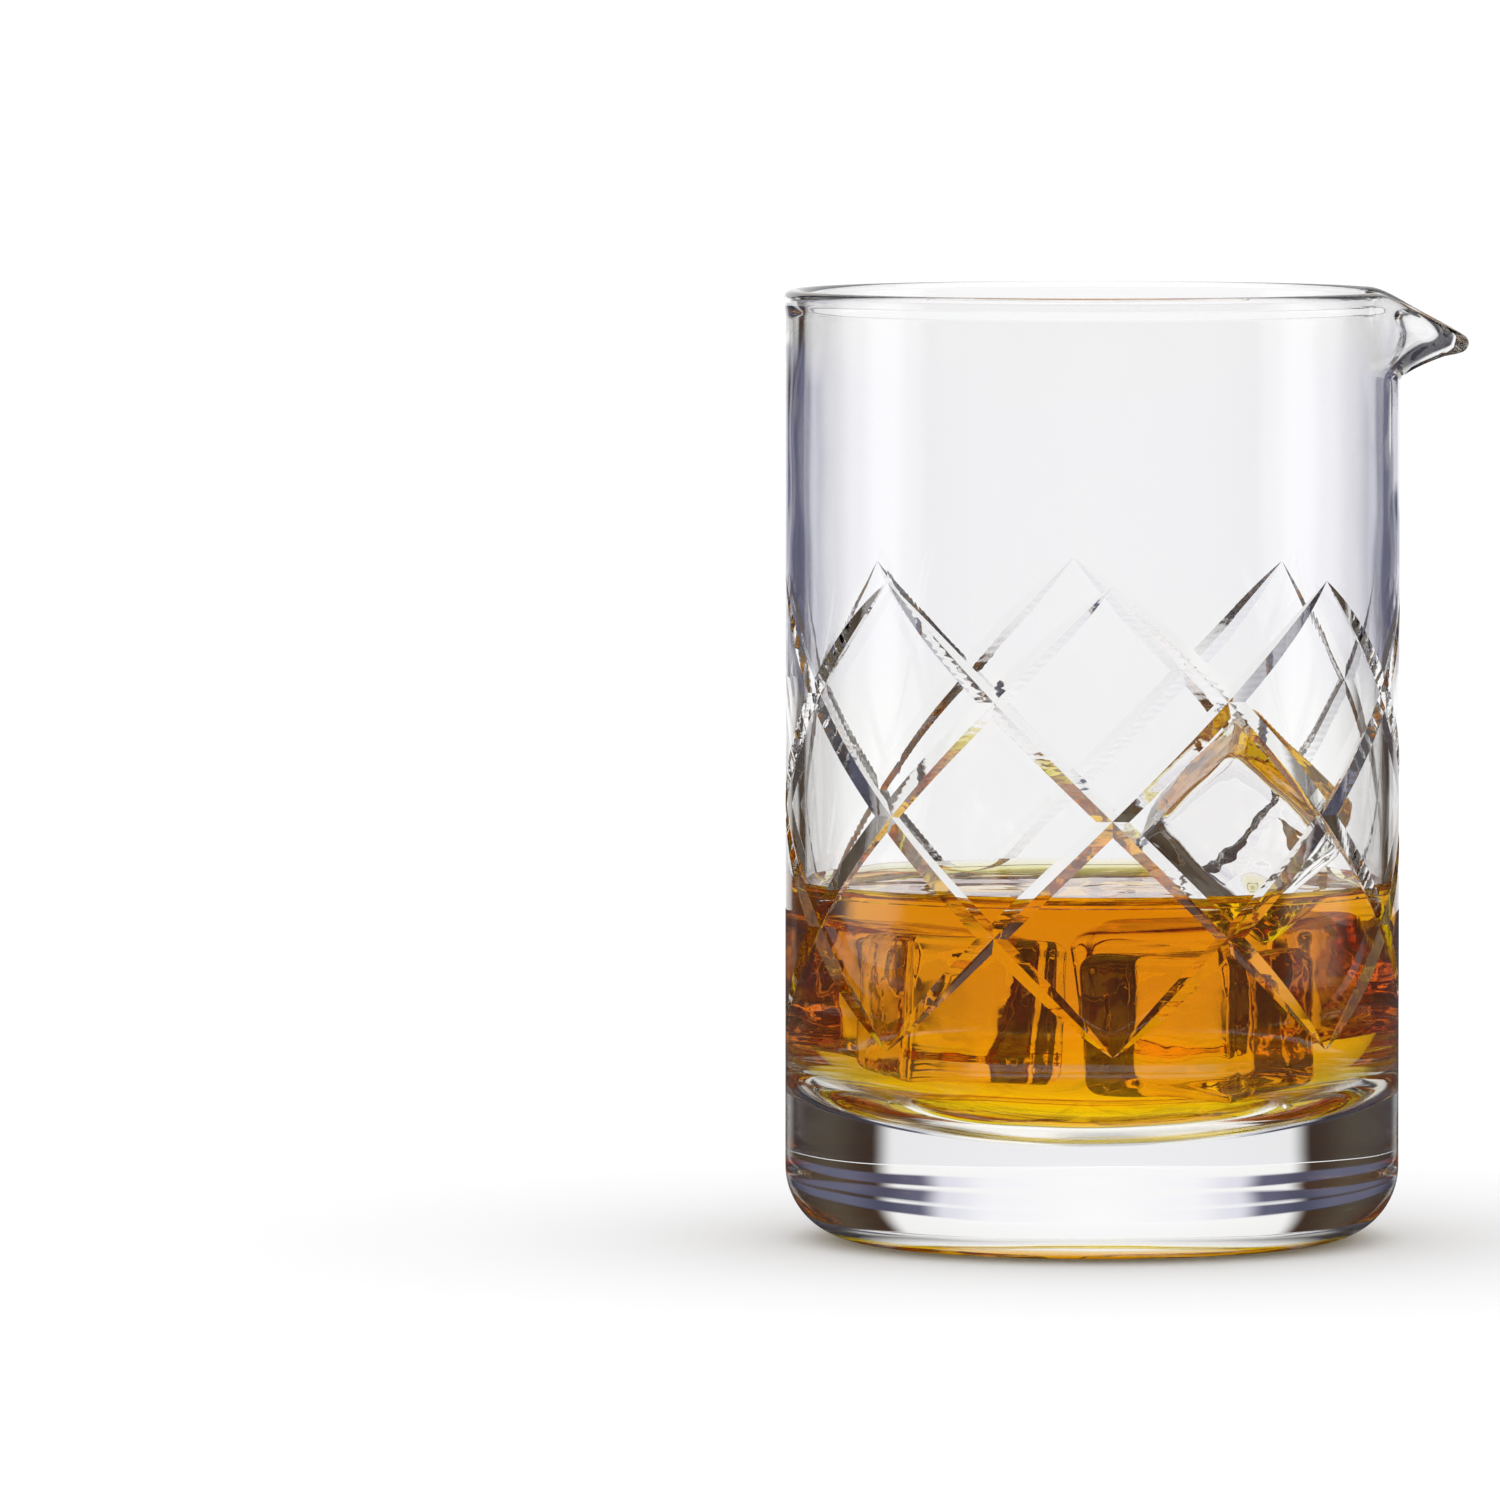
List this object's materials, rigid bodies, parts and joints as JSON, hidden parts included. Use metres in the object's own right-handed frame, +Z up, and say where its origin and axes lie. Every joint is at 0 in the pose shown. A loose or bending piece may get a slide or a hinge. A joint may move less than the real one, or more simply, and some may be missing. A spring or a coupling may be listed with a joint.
{
  "type": "mixing glass",
  "caption": "Straight heavy-based stirring glass with a pulled pouring lip and diamond-cut band, holding amber drink and clear ice cubes.",
  "frame": {"origin": "centre of the flat underside, on the glass's axis", "axes": "+Z up along the axis of the glass, +X towards the pouring lip"},
  "size_m": [0.1077, 0.097, 0.15],
  "materials": {
    "cut_glass": "clear, fire-polished, with polished wheel cuts",
    "amber_drink": "clear amber liquid",
    "clear_ice": "clear, wet"
  },
  "bodies": {
    "glass": {"glass_vessel": "cut_glass", "drink": "amber_drink"},
    "front_right_cube": {"ice_front_right": "clear_ice"},
    "front_left_cube": {"ice_front_left": "clear_ice"},
    "back_left_cube": {"ice_back_left": "clear_ice"},
    "back_right_cube": {"ice_back_right": "clear_ice"},
    "top_cube": {"ice_top": "clear_ice"}
  },
  "joints": [
    {"name": "front_right_lift", "type": "slide", "parent": "glass", "child": "front_right_cube", "axis": [0, 0, 1], "range_m": [0, 0.14], "deforming": ["drink"]},
    {"name": "front_left_lift", "type": "slide", "parent": "glass", "child": "front_left_cube", "axis": [0, 0, 1], "range_m": [0, 0.14], "deforming": ["drink"]},
    {"name": "back_left_lift", "type": "slide", "parent": "glass", "child": "back_left_cube", "axis": [0, 0, 1], "range_m": [0, 0.14], "deforming": ["drink"]},
    {"name": "back_right_lift", "type": "slide", "parent": "glass", "child": "back_right_cube", "axis": [0, 0, 1], "range_m": [0, 0.14], "deforming": ["drink"]},
    {"name": "top_lift", "type": "slide", "parent": "front_right_cube", "child": "top_cube", "axis": [0, 0, 1], "range_m": [0, 0.11], "deforming": ["drink"]}
  ]
}
